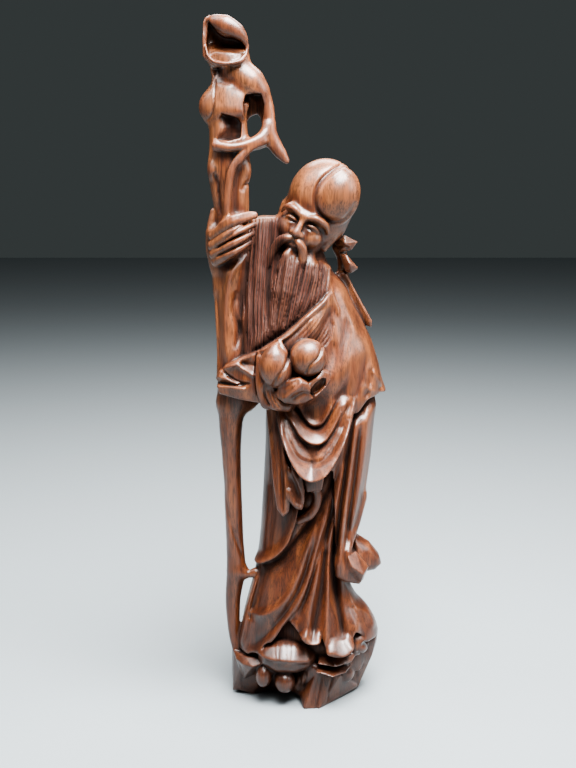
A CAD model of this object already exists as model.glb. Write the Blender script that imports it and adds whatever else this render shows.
"""A shou lao figure: the old man of long life with a gnarled staff and peaches, standing on rocks,
carved in one piece from a single block of dark hardwood."""
import math

import bpy
import numpy as np
import openvdb
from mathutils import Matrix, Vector


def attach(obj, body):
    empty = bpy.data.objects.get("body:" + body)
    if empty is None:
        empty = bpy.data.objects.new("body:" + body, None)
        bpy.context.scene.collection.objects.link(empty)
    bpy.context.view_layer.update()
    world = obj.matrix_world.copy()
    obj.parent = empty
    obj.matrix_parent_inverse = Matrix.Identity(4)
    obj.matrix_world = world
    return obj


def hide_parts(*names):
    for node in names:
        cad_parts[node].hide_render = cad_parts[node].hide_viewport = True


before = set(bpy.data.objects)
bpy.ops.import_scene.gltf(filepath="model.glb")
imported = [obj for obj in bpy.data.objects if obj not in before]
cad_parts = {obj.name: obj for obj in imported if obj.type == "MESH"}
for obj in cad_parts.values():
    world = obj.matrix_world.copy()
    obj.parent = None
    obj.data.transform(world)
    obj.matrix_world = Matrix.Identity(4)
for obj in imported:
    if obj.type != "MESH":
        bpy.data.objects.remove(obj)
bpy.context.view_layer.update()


# The block: dense rosewood, 400 mm tall, roughed out with saw and adze, then modelled with gouges.
# It is held here as clay, a field of distances in millimetres on a fine grid, below zero in the
# wood, to which masses are joined and from which hollows are cut, section by section.
MM = 0.001
PITCH = 0.56
BLOCK_LOW = (-62, -54, -5)
BLOCK_HIGH = (62, 44, 407)
# The distance that stands for nothing near
FAR = 50.0
# Relief fades out over this depth about the middle of the block
RELIEF_FADE = 10
# A gouge stroke has a crest this far on each side of its line, and fades out over this share of its
# length at each end
CREST = 0.6
STROKE_END = 0.18


def share(value):
    return np.clip(value, 0, 1)


# The smaller of two distances, rounded off where they come within blend of each other.
def soft_min(a, b, blend):
    if blend <= 0:
        return np.minimum(a, b)
    near = np.maximum(blend - np.abs(a - b), 0)
    return np.minimum(a, b) - near * near / (4 * blend)


def soft_max(a, b, blend):
    return -soft_min(-a, -b, blend)


# A smooth path of count + 1 places through points, which makes no loops where they lie close.
def smooth_path(points, count):
    points = np.array(points, float)
    ends = [2 * points[0] - points[1], *points, 2 * points[-1] - points[-2]]
    ends = np.array(ends)
    place = np.linspace(0, len(points) - 1, count + 1)
    first = np.minimum(place.astype(int), len(points) - 2)
    t = (place - first)[:, None]
    p0, p1, p2, p3 = (ends[first + n] for n in range(4))
    d0, d1, d2 = (np.maximum(((b - a) ** 2).sum(1), 1e-12)[:, None] ** 0.25
                  for a, b in ((p0, p1), (p1, p2), (p2, p3)))
    m1 = d1 * ((p1 - p0) / d0 - (p2 - p0) / (d0 + d1) + (p2 - p1) / d1)
    m2 = d1 * ((p2 - p1) / d1 - (p3 - p1) / (d1 + d2) + (p3 - p2) / d2)
    return p1 + t * m1 + t ** 2 * (3 * (p2 - p1) - 2 * m1 - m2) + t ** 3 * (2 * (p1 - p2) + m1 + m2)


# How far places are from a path in the x-z plane, positive on the left of its way, and how far along.
def nearest(path, x, z):
    best = np.full(np.broadcast_shapes(x.shape, z.shape), 1e9, np.float32)
    gap = np.zeros(best.shape, np.float32)
    way = np.zeros(best.shape, np.float32)
    for n, (a, b) in enumerate(zip(path[:-1], path[1:])):
        dx, dz = b - a
        qx, qz = x - a[0], z - a[1]
        t = share((qx * dx + qz * dz) / max(dx * dx + dz * dz, 1e-9))
        far = np.hypot(qx - t * dx, qz - t * dz)
        closer = far < best
        best = np.where(closer, far, best)
        gap = np.where(closer, np.where(dx * qz - dz * qx > 0, far, -far), gap)
        way = np.where(closer, (n + t) / (len(path) - 1), way)
    return gap, way


# A form to be joined or cut: the box that it lies in, and its distance from any place.
class Form:
    def __init__(self, low, high, distance):
        self.low = np.array(low, float)
        self.high = np.array(high, float)
        self.distance = distance


class Clay:
    def __init__(self, low, high, pitch):
        self.low = np.array(low, float)
        self.pitch = pitch
        self.count = [math.ceil((h - l) / pitch) + 1 for l, h in zip(low, high)]
        self.value = np.full(self.count, FAR, np.float32)

    # The part of the grid that a box can reach, and its samples along each axis.
    def window(self, low, high, reach):
        place, axes = [], []
        for axis in range(3):
            start = max(0, int((low[axis] - reach - self.low[axis]) // self.pitch))
            end = min(self.count[axis], math.ceil((high[axis] + reach - self.low[axis]) / self.pitch) + 1)
            place.append(slice(start, end))
            samples = self.low[axis] + self.pitch * np.arange(start, end)
            axes.append(samples.astype(np.float32).reshape([-1 if n == axis else 1 for n in range(3)]))
        return tuple(place), axes

    def add(self, form, blend=2):
        place, axes = self.window(form.low, form.high, blend + 2 * self.pitch)
        self.value[place] = soft_min(self.value[place], form.distance(*axes), blend)

    def cut(self, form, blend=1):
        place, axes = self.window(form.low, form.high, blend + 2 * self.pitch)
        self.value[place] = soft_max(self.value[place], -form.distance(*axes), blend)

    # Raises what has been made so far by a map of heights over x and z, as seen from the front
    # (side = 1) or from the back (side = -1), as far as the depth middle.
    def raise_by(self, heights, place, side, middle):
        y = self.low[1] + self.pitch * np.arange(self.count[1])
        weight = share(((middle - y) * side + RELIEF_FADE / 2) / RELIEF_FADE)
        rows = np.nonzero(weight)[0]
        rows = slice(rows[0], rows[-1] + 1)
        part = self.value[place[0], rows, place[2]]
        part -= (heights[:, None, :] * weight[rows][None, :, None]).astype(np.float32)

    # Folds and gouge strokes. A stroke is [line, height, left, right, straight]. Its crest follows
    # the line and falls off over a width on the left and on the right of its way, hollow or
    # straight; a height below 0 sinks it.
    def relief(self, strokes, side=1, middle=0):
        for line, height, left, *more in strokes:
            right = more[0] if more else left
            straight = more[1] if len(more) > 1 else False
            path = smooth_path(line, 8 * len(line))
            low, high = path.min(0), path.max(0)
            place, (x, _, z) = self.window([low[0], 0, low[1]], [high[0], 0, high[1]], max(left, right))
            gap, way = nearest(path, x[:, 0], z[0])
            fall = share(1 - (np.hypot(gap, CREST) - CREST) / np.where(gap > 0, left, right))
            fade = share(np.minimum(way, 1 - way) / STROKE_END)
            heights = height * (fall if straight else fall * fall) * fade * (2 - fade)
            self.raise_by(heights, place, side, middle)


clay = Clay(BLOCK_LOW, BLOCK_HIGH, PITCH)


# The long inner robe, which falls from the waist and flares over the rocks. It is left as one
# swelling column of the block, with deep folds cut by long gouge strokes and a hem that turns out.


# A height or depth read from a list of [x, value], smooth between them.
def along(marks):
    xs = np.array([m[0] for m in marks], float)
    values = np.array([m[1] for m in marks], float)

    def read(x):
        n = np.clip(np.searchsorted(xs, x), 1, len(xs) - 1)
        t = share((x - xs[n - 1]) / (xs[n] - xs[n - 1]))
        return values[n - 1] + (values[n] - values[n - 1]) * t * t * (3 - 2 * t)

    return read


# A column of oval sections, each [z, middle x, middle y, half width, half depth], lowest first.
# hem(x, y) gives the height of its lower edge, whose rim is rounded off.
def column(sections, hem=None, rim=1.5):
    table = np.array(sections, float)
    low = [(table[:, 1] - table[:, 3]).min(), (table[:, 2] - table[:, 4]).min(), table[:, 0].min()]
    high = [(table[:, 1] + table[:, 3]).max(), (table[:, 2] + table[:, 4]).max(), table[:, 0].max()]
    samples = 400
    # Kept a little short, because the distance from an oval is only exact on it
    caution = 0.95

    def distance(x, y, z):
        middle_x, middle_y, half_x, half_y = (
            np.interp(z, *smooth_path(table[:, [0, n]], samples).T) for n in range(1, 5))
        dx, dy = x - middle_x, y - middle_y
        k = np.sqrt((dx / half_x) ** 2 + (dy / half_y) ** 2)
        g = np.sqrt((dx / half_x ** 2) ** 2 + (dy / half_y ** 2) ** 2)
        wall = caution * k * (k - 1) / np.maximum(g, 1e-6)
        foot = hem(x, y) - z if hem else low[2] - z
        return soft_max(np.maximum(wall, z - high[2]), foot, rim)

    return Form(low, high, distance)


robe_front = along([[-37, 32], [-32.5, 30.5], [-26.5, 32.5], [-17.5, 41], [-9, 51], [-5.5, 53], [0, 48.5],
    [5, 44], [11, 43], [13, 45.5], [16.5, 39.5], [27, 38.5], [31.5, 42.5], [34, 47], [39.5, 38],
    [48.5, 39]])


# The robe's lower edge: the outline of its front, drawn up round the sides, and low behind.
def robe_hem(x, y):
    return np.where(y > 4, 24, robe_front(x) - 3 * share((y + 22) / 20))


clay.add(column([[13, 4, 0, 41.5, 31], [28.5, 5, -1, 42.5, 32.5], [41.5, 6.5, -1, 41.5, 31],
    [52.5, 5, -1, 38, 28.5], [62.5, 2, -1, 32.5, 26.5], [73.5, 1, -1, 28.5, 25], [92.5, 2.5, 0, 26.5, 23.5],
    [120.5, 5, 0, 27, 22], [145.5, 8.5, 0, 29, 22], [182, 12, 1, 30, 22]], robe_hem), 1)
clay.relief([
    # The left edge and the hollow beside it
    [[[-24, 80], [-29, 62.5], [-32.5, 46.5], [-35.5, 32]], 1.8, 2, 4],
    [[[-18.5, 87], [-23.5, 67], [-29, 49.5]], -1.8, 6, 6],
    # The broad band that sweeps left, with a sharp upper edge, and the finer ones after it
    [[[12, 119], [5, 99], [-1.5, 80.5], [-9, 66.5], [-18.5, 58.5], [-30.5, 53]], 3.2, 9, 3],
    [[[13.5, 114.5], [6.5, 92.5], [1.5, 77.5], [-6.5, 61.5], [-18.5, 45], [-29.5, 33.5]], -1.6, 3, 4],
    [[[15.5, 122], [9.5, 99.5], [4.5, 79], [-2, 65], [-11.5, 50.5], [-23.5, 36.5]], 1.6, 2.6, 2.6],
    [[[17, 119.5], [10, 93], [4, 71.5], [-3, 58], [-11.5, 48]], -1.5, 2, 2.2],
    [[[18, 122.5], [12, 103], [7, 83.5], [1, 66], [-6.5, 52]], 1.6, 2.2, 2.2],
    [[[18.5, 115], [11, 90.5], [4.5, 69.5], [-1.5, 54.5]], -1.5, 2.2, 2.2],
    # The wide ridge in the middle, the deep fold right of it and the narrow ridge
    [[[19.5, 138.5], [15, 109.5], [9.5, 79], [5, 58], [3.5, 41.5]], 2.8, 7.5, 7],
    [[[20, 127.5], [16, 100], [13, 72.5], [9.5, 52.5], [7.5, 43.5]], -3.6, 4, 4.4],
    [[[20, 115.5], [17.5, 88], [16.5, 60], [15.5, 35]], 2.4, 3, 3],
    [[[22, 108.5], [20.5, 84], [22, 66.5], [24.5, 51.5], [26, 43]], -4.6, 4.4, 5],
    [[[22.5, 85], [28, 71.5], [33.5, 59], [36.5, 41.5]], 3, 4, 8],
    [[[32, 61], [35.5, 51], [38, 39]], -1.6, 3, 3],
    [[[32.5, 60], [41, 53.5], [46.5, 43.5]], 1, 4, 3],
    # The hem turns out at the foot of each fold
    [[[-34, 32], [-29.5, 30], [-24.5, 32.5], [-17.5, 40], [-9, 51]], 0.6, 4, 1.2],
    [[[0, 48.5], [4.5, 44], [9, 43], [13.5, 44]], 4, 6, 0.8, True],
    [[[15, 37.5], [22.5, 35.5], [28.5, 36], [34, 41]], 6, 8, 0.8, True],
], 1, -4)


# The outer coat, open down the front, carved over the robe. Its hem has a raised rim, and its end
# at his left is turned up over the rocks in two lobes.


# How far places are from a closed outline in the x-z plane (negative inside), and a value read from
# those given at its corners, spread out evenly within about softness of each edge.
def outline(corners, values, x, z, softness=2):
    best = np.full(np.broadcast_shapes(x.shape, z.shape), 1e9)
    inside = np.zeros(best.shape, bool)
    total = np.zeros(best.shape)
    read = np.zeros(best.shape)
    for n, (ax, az) in enumerate(corners):
        following = (n + 1) % len(corners)
        bx, bz = corners[following]
        dx, dz, qx, qz = bx - ax, bz - az, x - ax, z - az
        t = share((qx * dx + qz * dz) / (dx * dx + dz * dz))
        far = (qx - t * dx) ** 2 + (qz - t * dz) ** 2
        best = np.minimum(best, far)
        if dz:
            inside ^= ((az > z) != (bz > z)) & (x < ax + dx * (z - az) / dz)
        weight = 1 / (far + softness) ** 2
        total = total + weight
        read = read + weight * (values[n] + (values[following] - values[n]) * t)
    return np.where(inside, -1, 1) * np.sqrt(best), read / total


# Cloth of a thickness, or of one at each corner. Its corners, in order, are points of its front edge;
# the front between them stands out by bulge, all of it from rise inwards, and as a cutter it reaches
# ahead of them.
def cloth(corners, thickness, bulge=0, rounding=1.5, ahead=0, rise=9):
    points = np.array(corners, float)
    thick = np.broadcast_to(np.array(thickness, float), len(points))
    low = points.min(0) - [0, bulge + ahead, 0]
    high = points.max(0) + [0, thick.max(), 0]
    seen = points[:, [0, 2]]

    def distance(x, y, z):
        edge, front = outline(seen, points[:, 1], x, z)
        back = front + thick[0]
        if np.ptp(thick):
            back = outline(seen, points[:, 1] + thick, x, z)[1]
        swell = share(-edge / rise)
        swell = bulge * swell * (2 - swell)
        return soft_max(edge, np.maximum(front - swell - ahead - y, y + swell - back), rounding)

    return Form(low, high, distance)


# A stone with flat faces: the hull of its corners.
def stone(corners):
    points = np.array(corners, float)
    planes = []
    for n, a in enumerate(points):
        for m in range(n + 1, len(points)):
            for k in range(n + 1, len(points)):
                normal = np.cross(points[m] - a, points[k] - a)
                size = np.linalg.norm(normal)
                if size < 1e-6:
                    continue
                normal = normal / size
                reach = (points @ normal).max()
                known = any(np.allclose(normal, plane[0], atol=1e-4) for plane in planes)
                if reach - normal @ a < 1e-6 and not known:
                    planes.append((normal, reach))

    def distance(x, y, z):
        most = -FAR
        for normal, reach in planes:
            most = np.maximum(most, normal[0] * x + normal[1] * y + normal[2] * z - reach)
        return most

    return Form(points.min(0), points.max(0), distance)


coat_front = along([[-29.5, 78], [-22, 84], [-14.5, 89], [-8, 99.5], [-3, 113.5], [0, 127], [1, 145],
    [19, 145], [22.5, 81.5], [31, 78]])


# The coat's lower edge: the outline of its front, which drops to 64 mm over the back.
def coat_hem(x, y):
    return coat_front(x) + (64 - coat_front(x)) * share((y + 6) / 12)


clay.add(column([[64.5, 1.5, 1, 26.5, 27], [73.5, 0.5, 1, 27.5, 27], [82.5, 1.5, 1, 27, 26.5],
    [95, 3, 1, 27, 26.5], [114, 7.5, 1, 29.5, 27], [132.5, 10, 1, 31, 27], [151, 11.5, 1, 31.5, 27.5],
    [169.5, 12.5, 1, 32, 28], [182, 13.5, 1, 32.5, 28], [194, 12.5, 1, 34.5, 27]], coat_hem), 0.4)
# The front lobe and the one behind it
clay.add(cloth([[22.5, -20, 138.5], [31, -18, 144], [41, -8, 141.5], [40.5, -8, 123], [36.5, -10, 108],
    [33, -14, 99.5], [30, -20, 94], [40.5, -17, 83], [38.5, -18, 76.5], [36, -19, 73.5], [26.5, -22, 76],
    [21.5, -23, 79.5], [20.5, -23, 90.5]], 20, 1, 3), 0.8)
clay.add(cloth([[32.5, -5, 104.5], [36, -5, 97], [43, -5, 92.5], [49, -3, 84.5], [50.5, -2, 79.5],
    [46.5, -3, 76], [40.5, -5, 75.5], [32, -8, 81.5]], 18, 1, 7), 0.8)
clay.relief([
    [[[32.5, 182], [29.5, 163.5], [26.5, 142.5], [23.5, 115.5], [22, 87.5]], -3.6, 3.6, 3.2],
    [[[25.5, 157.5], [20.5, 138.5], [12, 122.5], [3, 108.5], [-5, 97.5], [-12.5, 89],
        [-22, 83.5]], -3, 7.5, 3.4],
    [[[26.5, 150.5], [23, 133.5], [18.5, 109.5], [15, 93.5]], 1.6, 3, 3],
    [[[35.5, 172], [33.5, 150.5], [31, 126.5], [28.5, 108], [27.5, 94.5]], -1.4, 2, 2.4],
    [[[33, 180.5], [30.5, 157], [28, 133], [24.5, 102.5], [24, 80.5]], 1.4, 3, 3],
    [[[40, 183], [38, 155.5], [34, 125], [30, 100.5], [29, 90.5], [34, 79.5]], 1.8, 3.4, 3.8],
    [[[44.5, 146], [42.5, 136.5], [40, 126.5]], -1, 2, 2.4],
    [[[-19.5, 180], [-17.5, 156.5], [-17, 132.5]], 1, 3, 4],
    [[[-16, 144.5], [-16, 114], [-18.5, 92]], -1, 4, 4],
    # The rim of the hem
    [[[1, 132], [-3, 113.5], [-7, 102], [-14, 93], [-22, 87], [-29.5, 83]], 3.6, 1.2, 4.4],
], 1, 0)
clay.add(stone([[28.5, -23, 92.5], [33.5, -17, 94.5], [41.5, -15, 84], [38, -23, 81.5], [31, -25, 87],
    [36.5, -20, 75.5], [27, -20, 79.5], [33.5, -8, 82.5], [40.5, -8, 77.5]]), 0.3)


# The trunk with both shoulders and the wide sleeve of the left arm, left full in the block and
# modelled with shallow folds that run down to the swags.
clay.add(column([[174.5, 12, 0, 30.5, 24], [185, 12.5, 0, 34.5, 26], [200, 11, 0, 36.5, 27],
    [218, 6.5, 0, 35, 27.5], [235.5, 1, 0, 31.5, 26.5], [250.5, -3, 0, 29, 24], [260, -6.5, 1, 24.5, 20],
    [270.5, -8, 2, 21, 16], [279, -10, 3, 15, 12]]), 1.5)
# The wide sleeve of the left arm, with the corner of its hem
clay.add(cloth([[22, -16, 243.5], [30, -10, 241], [37, -8, 229], [42.5, -6, 218], [46, -4, 205.5],
    [49.5, -2, 193], [52, -1, 186], [38.5, -19, 188], [35, -22, 183.5], [30.5, -25, 182], [26.5, -25, 187],
    [20.5, -23, 215.5]], 30, 1, 7), 1.2)
clay.relief([
    # Shallow folds run from the shoulder down to the swags
    [[[26.5, 234], [25.5, 218.5], [21, 203], [13, 187.5]], -1.1, 4, 4.6],
    [[[32.5, 222], [30.5, 208], [25.5, 194.5], [19, 182.5]], -1.3, 4, 4.6],
    [[[29, 215], [25, 200.5], [16.5, 185]], 0.8, 3, 3],
    [[[38.5, 214], [36.5, 200], [32, 189], [26.5, 179.5]], -1.1, 3, 4],
    [[[19, 221.5], [17.5, 209], [13, 195.5]], -0.7, 2.6, 3],
    # The turned corner of the hem, which stands off the coat
    [[[41.5, 204], [41, 196], [38.5, 186]], -1.2, 1.6, 3.4],
    [[[42, 203], [47, 195], [51, 186.5]], 0.8, 3, 2],
    [[[27.5, 176.5], [34, 177.5], [38, 182], [40.5, 184.5], [54, 186]], -4.5, 1, 7],
    [[[22, 250], [28, 236], [33, 222]], 1, 5, 5],
], 1, 4)


# The back is plain: long folds gouged from the shoulders down over the rocks, about 9 mm apart.
FOLDS = 7
strokes = []
for n in range(FOLDS):
    x = -24 + 54 * n / (FOLDS - 1)
    sway = 5 * math.sin(3 * n)
    top = 250 - 14 * (n % 2)
    strokes.append([[[x * 0.8 + 4, top], [x + sway, 190], [x * 0.9 + sway, 120], [x * 1.2, 48]],
        -2.4 if n % 2 else -3.2, 3.5, 5])
clay.relief(strokes, -1, 6)


# The rocks that he stands on, hewn from the foot of the block in flat faces: three big stones, a
# ledge in two thin steps, and an undercut with knobs below a smooth boulder.


# A form moved to a place and turned by degrees about X, then Z, then Y.
def placed(form, origin, turn):
    rx, ry, rz = np.radians(turn)
    about_x = np.array([[1, 0, 0], [0, math.cos(rx), -math.sin(rx)], [0, math.sin(rx), math.cos(rx)]])
    about_y = np.array([[math.cos(ry), 0, math.sin(ry)], [0, 1, 0], [-math.sin(ry), 0, math.cos(ry)]])
    about_z = np.array([[math.cos(rz), -math.sin(rz), 0], [math.sin(rz), math.cos(rz), 0], [0, 0, 1]])
    m = about_y @ about_z @ about_x
    corners = np.array([[(form.low, form.high)[n >> a & 1][a] for a in range(3)] for n in range(8)])
    corners = corners @ m.T + origin

    def distance(x, y, z):
        q = (x - origin[0], y - origin[1], z - origin[2])
        return form.distance(*(m[0, n] * q[0] + m[1, n] * q[1] + m[2, n] * q[2] for n in range(3)))

    return Form(corners.min(0), corners.max(0), distance)


# An ellipsoid.
def ball(centre, radii, turn=(0, 0, 0)):
    rx, ry, rz = radii

    def distance(x, y, z):
        k = np.sqrt((x / rx) ** 2 + (y / ry) ** 2 + (z / rz) ** 2)
        g = np.sqrt((x / rx ** 2) ** 2 + (y / ry ** 2) ** 2 + (z / rz ** 2) ** 2)
        return k * (k - 1) / np.maximum(g, 1e-6)

    return placed(Form([-rx, -ry, -rz], radii, distance), centre, turn)


# A round limb that follows a smooth path through points, with a radius at each. flat thins it front
# to back. Beyond margin from a part of it, that part isn't worked out.
def limb(points, radii, flat=1, margin=9):
    stretched = np.array(points, float) / [1, flat, 1]
    steps = 6 * (len(points) - 1) if len(points) > 2 else 1
    path = smooth_path(stretched, steps)
    radius = np.interp(np.linspace(0, len(radii) - 1, steps + 1), np.arange(len(radii)), radii)
    widest = max(radii)

    def distance(x, y, z):
        y = y / flat
        whole = np.full(np.broadcast_shapes(x.shape, y.shape, z.shape), FAR, np.float32)
        loose = x.size == x.shape[0] and x.ndim == 3
        for a, b, ra, rb in zip(path[:-1], path[1:], radius[:-1], radius[1:]):
            place = (slice(None),) * 3
            axes = (x, y, z)
            if loose:
                reach = max(ra, rb) + margin
                place = tuple(slice(*np.searchsorted(axis.ravel(), (min(p, q) - reach, max(p, q) + reach)))
                              for axis, p, q in zip(axes, a, b))
                axes = (x[place[0]], y[:, place[1]], z[:, :, place[2]])
            d = b - a
            q = [axis - start for axis, start in zip(axes, a)]
            t = share((q[0] * d[0] + q[1] * d[1] + q[2] * d[2]) / max((d * d).sum(), 1e-9))
            far = sum((q[n] - t * d[n]) ** 2 for n in range(3))
            part = np.sqrt(far) - ra - (rb - ra) * t
            whole[place] = np.minimum(whole[place], part)
        return whole

    low, high = path.min(0) - widest, path.max(0) + widest
    return Form(low * [1, flat, 1], high * [1, flat, 1], distance)


# The solid mass inside, then the left stone, the front right stone and the right stone
clay.add(stone([[-30, 6, 0], [-26, 26, 0], [0, 31, 0], [26, 26, 0], [37, 12, 0], [30, -4, 0], [-20, -6, 0],
    [-33, 8, 25], [-26, 26, 27], [2, 31, 30], [30, 25, 28], [42, 12, 30], [30, -6, 24], [-16, -8, 24]]), 1)
clay.add(ball([-2, 3, 32], [31, 19, 17]), 1)
clay.add(cloth([[-35.5, -13, 27], [-28.5, -16, 33], [-17.5, -20, 43.5], [-6, -22, 55.5], [3.5, -23, 48.5],
    [13.5, -23, 42], [18, -23, 35.5], [16, -21, 24.5], [-32, -15, 21]], 24, 1, 2), 0.5)
clay.add(stone([[-38.5, -3, 0], [-28, -9, 0], [-12, -2, 0], [-37, 14, 0], [-10, 20, 0], [-41, -2, 29],
    [-39.5, -9, 25.5], [-36, -9, 2.5], [-32, -15, 21], [-26, -18, 26], [-25, -12, 6.5], [-39.5, -7, 13.5],
    [-38, 14, 28], [-12, 10, 34]]), 0.5)
clay.add(stone([[-40, -8, 28], [-35.5, -15, 28], [-32, -18, 28], [-24.5, -21, 28.5], [-22, -25, 26.5],
    [-28, -25, 24.5], [-33.5, -21, 24.5], [-38, -15, 25.5], [-34, -12, 11], [-26, -12, 13], [-33, 0, 21.5],
    [-23.5, -8, 23]]), 0.2)
clay.add(stone([[-41, -4, 29.5], [-39, -9, 27], [-35, -15, 22], [-32, -14, 16.5], [-35.5, -10, 3.5],
    [-40.5, -7, 1.5], [-41, -5, 16.5], [-32.5, 0, 18], [-32.5, 0, -0.5]]), 0.2)
clay.add(stone([[-1, -15, 6.5], [2.5, -30, 0], [12, -29.5, 0], [36, -1, 0], [12, 0, 0], [11.5, -25, 24.5],
    [25, -21, 17.5], [36, -6, 4], [34.5, -3, 7.5], [12, -19, 25.5], [2.5, -19, 15]]), 0.3)
clay.add(stone([[35.5, -1, 0], [38, 14, 0], [10, 16, 0], [10, -10, 0], [25, -17, 18], [36.5, -3, 1.5],
    [41.5, -4, 14.5], [45, -3, 22.5], [48.5, 6, 28.5], [49.5, 8, 37], [32, -14, 34], [28.5, -17, 28.5],
    [39.5, 10, 39], [12.5, -20, 27]]), 0.3)
# The ledge between them, in two thin steps, and the block at the right
clay.add(stone([[12, -20, 32], [27.5, -18, 31], [35, -12, 34.5], [11, -31, 29], [21.5, -33, 28],
    [31, -27, 28.5], [36, -15, 30.5], [12.5, -20, 24.5], [31, -14, 22.5]]), 0.2)
clay.add(stone([[11.5, -25, 26], [24.5, -25, 24], [29, -19, 24.5], [10, -32, 24.5], [19.5, -35, 22.5],
    [27.5, -28, 22], [31.5, -18, 22.5], [14, -20, 18.5], [28, -14, 16.5]]), 0.2)
clay.add(stone([[26, -20, 21.5], [32.5, -14, 27.5], [40, -6, 32.5], [43, -3, 31], [41, -6, 24],
    [38.5, -8, 16.5], [32, -14, 12.5], [25, -21, 19], [31.5, 0, 24.5]]), 0.2)
clay.add(ball([34.5, -14, 36], [8, 8, 8]), 1)
# The undercut, then two knobs in front and the boulder
clay.cut(stone([[-26, -40, 30.5], [0.5, -40, 30.5], [-2, -40, 10.5], [-24, -40, 10.5], [-24.5, -17, 14],
    [-1, -17, 14], [-1.5, -40, 32], [-25.5, -40, 32]]), 0.6)
clay.add(ball([-21, -22, 18], [5, 6.6, 7.4], [16, 6, 0]), 0.8)
clay.add(ball([-8.5, -23.5, 15], [6.2, 7, 7.2], [16, -6, 0]), 0.8)
clay.add(ball([-17.5, -18, 22], [8, 7, 4.5], [0, 14, 0]), 1)
clay.add(limb([[9, -24, 24], [3.5, -20, 16], [-0.5, -17, 10]], [3, 4.4, 3.4]), 1)
clay.add(limb([[4.5, -12, 40], [3.5, -13, 27], [2, -11, 8.5]], [9, 9, 8]), 1.5)
clay.add(ball([27.5, -13, 16], [6, 6, 6]), 1)
clay.add(ball([-7, -21, 30.5], [17.6, 11.5, 10.6], [-8, 2, 0]), 0.4)
# The hollow under the knobs
clay.cut(stone([[-30, -30, -4], [0.5, -31, -4], [-1, -15.5, -4], [-29, -12, -4], [-28, -30, 5],
    [-1, -31, 6], [-2, -16.5, 6], [-28, -12.5, 5]]), 0.6)
clay.relief([
    [[[-25.5, 33.5], [-17, 32.5], [-7, 32], [1.5, 31], [11, 30.5]], 2, 5, 3],
    [[[-13.5, 43], [-14.5, 37.5], [-13.5, 31]], -0.22, 0.6],
    [[[-10.5, 43.5], [-12, 37.5], [-12, 27.5]], -0.22, 0.6],
    [[[-8, 44.5], [-8, 37.5], [-7, 26]], -0.22, 0.6],
    [[[-5.5, 43.5], [-4, 37.5], [-5, 30]], -0.22, 0.6],
    [[[11.5, 24.5], [7.5, 14], [4, 0]], 0.8, 2, 3],
    [[[13.5, 19.5], [11.5, 9], [10, -0.5]], -0.5, 1],
    [[[20.5, 18.5], [17.5, 9.5], [17, 1]], -0.5, 1],
    [[[0.5, 20], [1, 15], [0, 8.5]], -0.8, 1],
    [[[4, 22], [4, 15], [2.5, 7]], -0.8, 1],
    [[[-35.5, 23.5], [-34, 15.5], [-35.5, 5]], -0.6, 1.2],
    [[[31, 21], [34.5, 15.5], [35.5, 9]], -0.6, 1.5],
    [[[37.5, 38], [42.5, 34], [47, 32.5]], -3, 2.5, 2],
    [[[34.5, 33], [38, 29], [41, 26.5]], -1.2, 1.2],
], 1, -2)


# The staff below the hand: a bare branch, cut free of the robe but for a bridge at its top and a
# knot that touches the coat.
clay.add(limb([[-38, -10, 189], [-40, -10, 171], [-40, -9, 153.5], [-39.5, -8, 135], [-39, -7, 116.5],
    [-38.5, -5, 97], [-38, -4, 78], [-40, -3, 60], [-40, -3, 46.5], [-39.5, -4, 35.5], [-38, -6, 27]],
    [9.5, 7, 5.7, 5.2, 5.2, 5.2, 5.8, 4.6, 4, 3, 2.2]), 1)
clay.add(limb([[-39.5, -9, 182.5], [-32.5, -8, 183.5], [-25.5, -6, 186], [-16, -4, 186.5]],
    [9, 7.6, 4.8, 5]), 3)
clay.add(limb([[-36.5, -3, 43], [-36, -4, 35.5], [-35.5, -5, 27]], [1.6, 2.6, 3]), 1)
clay.add(limb([[-36, -5, 77.5], [-32.5, -6, 76.5], [-29, -7, 76.5]], [5, 3.4, 1.8]), 3)
clay.add(limb([[-29, -7, 76.5], [-26, -7, 77.5]], [2.4, 3]), 0.5)
clay.relief([
    [[[-40, 182], [-42, 160.5], [-41.5, 136.5], [-41, 105.5], [-40, 87]], 1, 2, 3.4],
    [[[-42.5, 125.5], [-41, 111.5], [-37, 97], [-33.5, 85.5]], -0.9, 1.2, 1.2],
    [[[-43.5, 172.5], [-43.5, 148.5], [-43.5, 124]], -0.6, 1.2, 1.6],
], 1, -4)


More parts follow.
